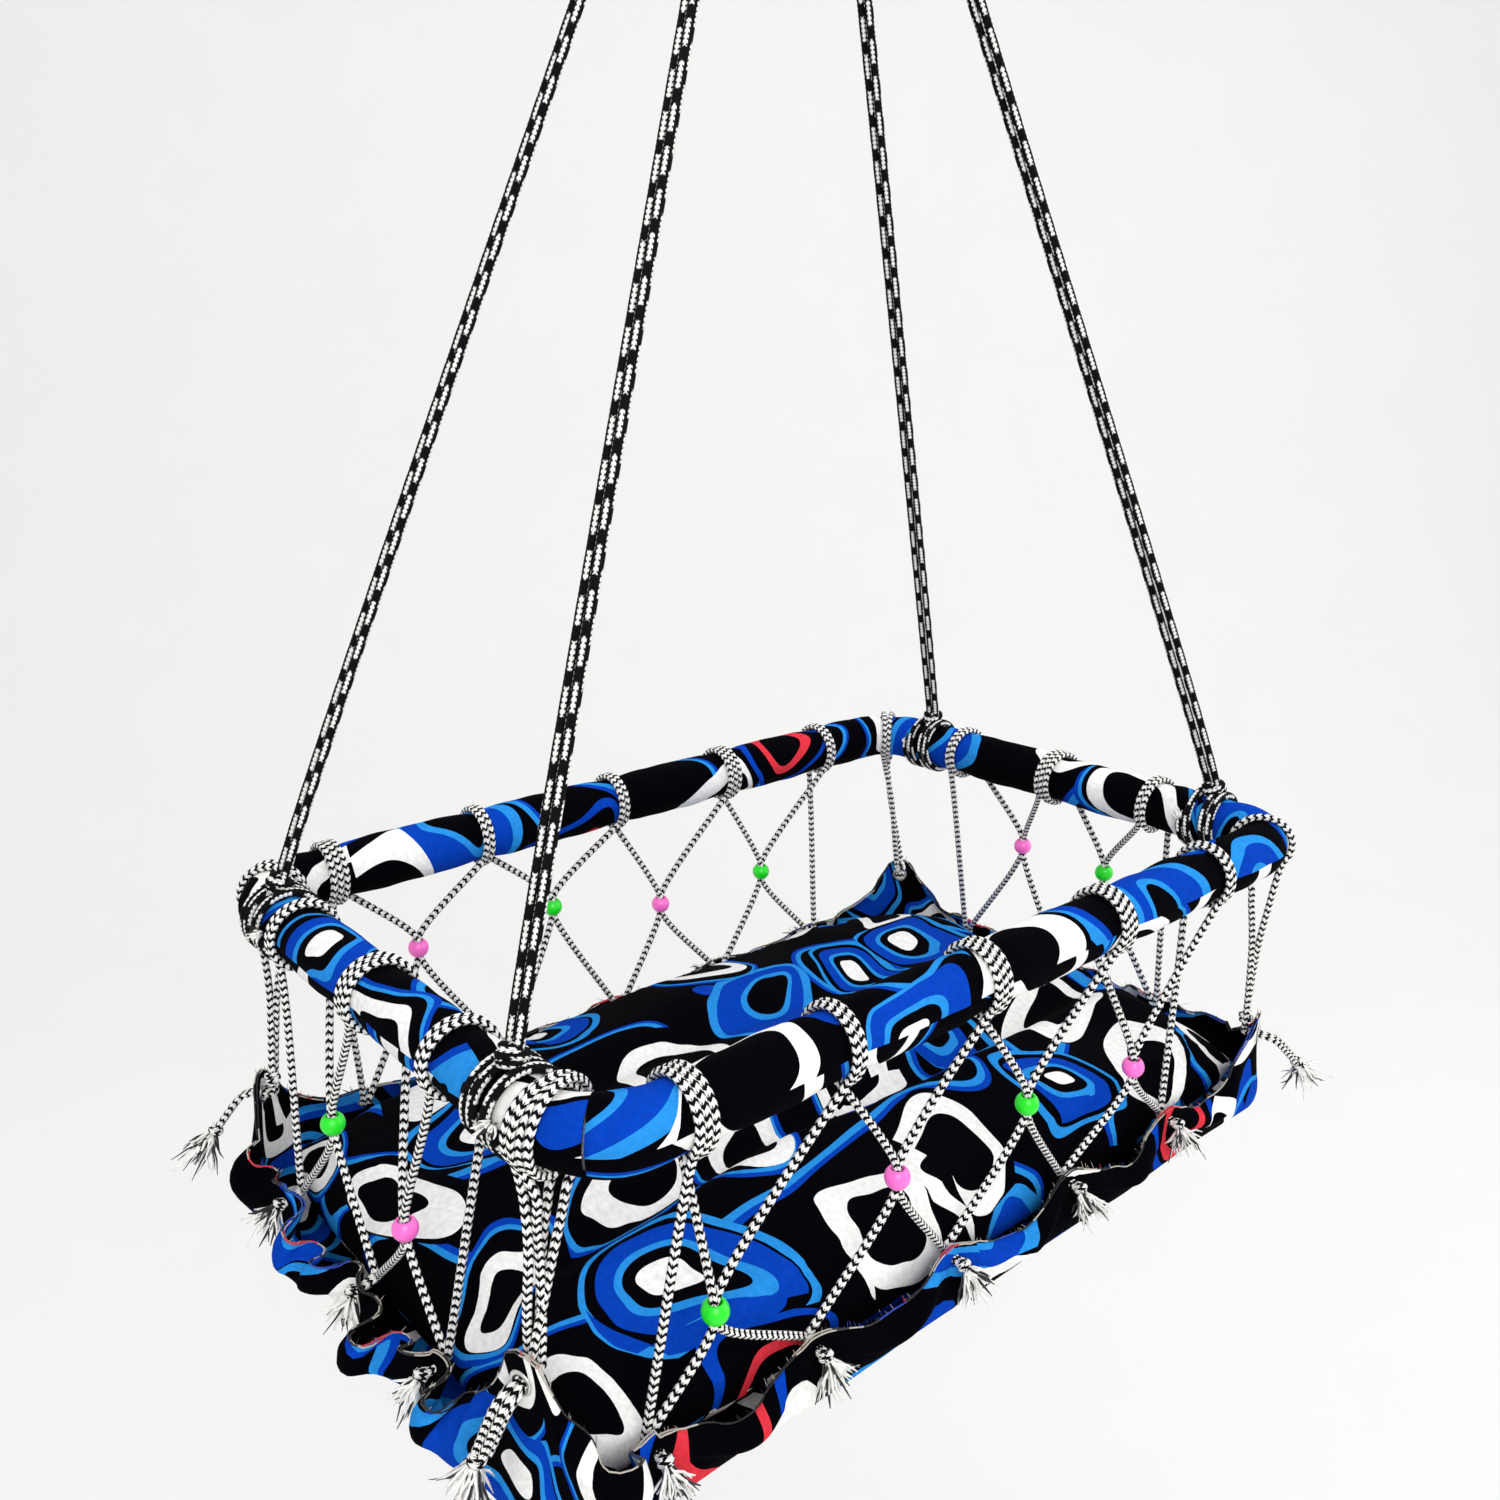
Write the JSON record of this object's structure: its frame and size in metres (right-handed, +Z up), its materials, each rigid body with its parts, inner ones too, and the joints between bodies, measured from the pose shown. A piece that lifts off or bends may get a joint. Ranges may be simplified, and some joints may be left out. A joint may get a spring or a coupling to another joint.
{
  "type": "hanging baby cradle",
  "caption": "Hanging baby cradle: a padded rectangular hoop on doubled ropes, with beaded cord nets that carry a cloth bed and mattress.",
  "frame": {"origin": "bearing point inside the top of the hook's upper bowl, where the cradle hangs", "axes": "+Z up, +X along the cradle's length to its right end, +Y across it to its back"},
  "size_m": [0.7003, 0.4544, 1.1466],
  "materials": {
    "steel": "polished round bar",
    "tube": "plain tube",
    "foam": "closed-cell foam sleeve",
    "rope": "black and white braid",
    "cord": "off-white braid with dark flecks",
    "rail_print": "printed cloth in blue, black, white and red",
    "bed_print": "printed cloth in blue, black, white and red",
    "bead_green": "satin",
    "bead_pink": "satin",
    "eyelet": "plated"
  },
  "bodies": {
    "hook": {"hanging_hook": "steel"},
    "ring": {"hanging_ring": "steel"},
    "sling": {"rope_back_left": "rope", "rope_front_left": "rope", "rope_front_right": "rope", "rope_back_right": "rope", "rail_cover_front": "rail_print", "rail_cover_back": "rail_print", "rail_cover_left": "rail_print", "rail_cover_right": "rail_print", "rail_foam_front": "foam", "rail_foam_back": "foam", "rail_foam_left": "foam", "rail_foam_right": "foam", "hoop_tube_left": "tube", "hoop_tube_right": "tube", "tube_pin_front": "tube", "tube_pin_back": "tube", "net_front": "cord", "net_back": "cord", "net_left": "cord", "net_right": "cord", "corner_cord_back_left": "cord", "corner_cord_front_left": "cord", "corner_cord_front_right": "cord", "corner_cord_back_right": "cord"},
    "bed": {"bed_cloth": "bed_print", "mattress": "bed_print", "eyelet_back_left": "eyelet", "eyelet_front_left": "eyelet", "eyelet_front_right": "eyelet", "eyelet_back_right": "eyelet"},
    "low_beads": {"bead_front_1": "bead_green", "bead_front_4": "bead_pink", "bead_left_2": "bead_pink"},
    "middle_beads": {"bead_front_2": "bead_pink", "bead_front_3": "bead_green", "bead_left_1": "bead_green", "bead_back_1": "bead_green", "bead_back_2": "bead_pink"},
    "high_beads": {"bead_back_3": "bead_green", "bead_back_4": "bead_pink", "bead_right_1": "bead_green", "bead_right_2": "bead_pink"}
  },
  "joints": [
    {"name": "end_to_end_swing", "type": "hinge", "parent": "hook", "child": "ring", "pos_m": [0, 0, -0.064], "axis": [0, 1, 0], "range_deg": [-30, 30]},
    {"name": "side_to_side_swing", "type": "hinge", "parent": "ring", "child": "sling", "pos_m": [0, 0, -0.0917], "axis": [1, 0, 0], "range_deg": [-25, 25]},
    {"name": "bed_lift", "type": "slide", "parent": "sling", "child": "bed", "axis": [0, 0, 1], "range_m": [0, 0.1], "deforming": ["net_front", "net_back", "net_left", "net_right", "corner_cord_back_left", "corner_cord_front_left", "corner_cord_front_right", "corner_cord_back_right"]},
    {"name": "low_beads_rise", "type": "slide", "parent": "sling", "child": "low_beads", "axis": [0, 0, 1], "range_m": [0, 0.066]},
    {"name": "middle_beads_rise", "type": "slide", "parent": "sling", "child": "middle_beads", "axis": [0, 0, 1], "range_m": [0, 0.056]},
    {"name": "high_beads_rise", "type": "slide", "parent": "sling", "child": "high_beads", "axis": [0, 0, 1], "range_m": [0, 0.041]}
  ],
  "couplings": [
    {"joint": "low_beads_rise", "follows": "bed_lift", "ratio": 0.66},
    {"joint": "middle_beads_rise", "follows": "bed_lift", "ratio": 0.56},
    {"joint": "high_beads_rise", "follows": "bed_lift", "ratio": 0.41}
  ]
}
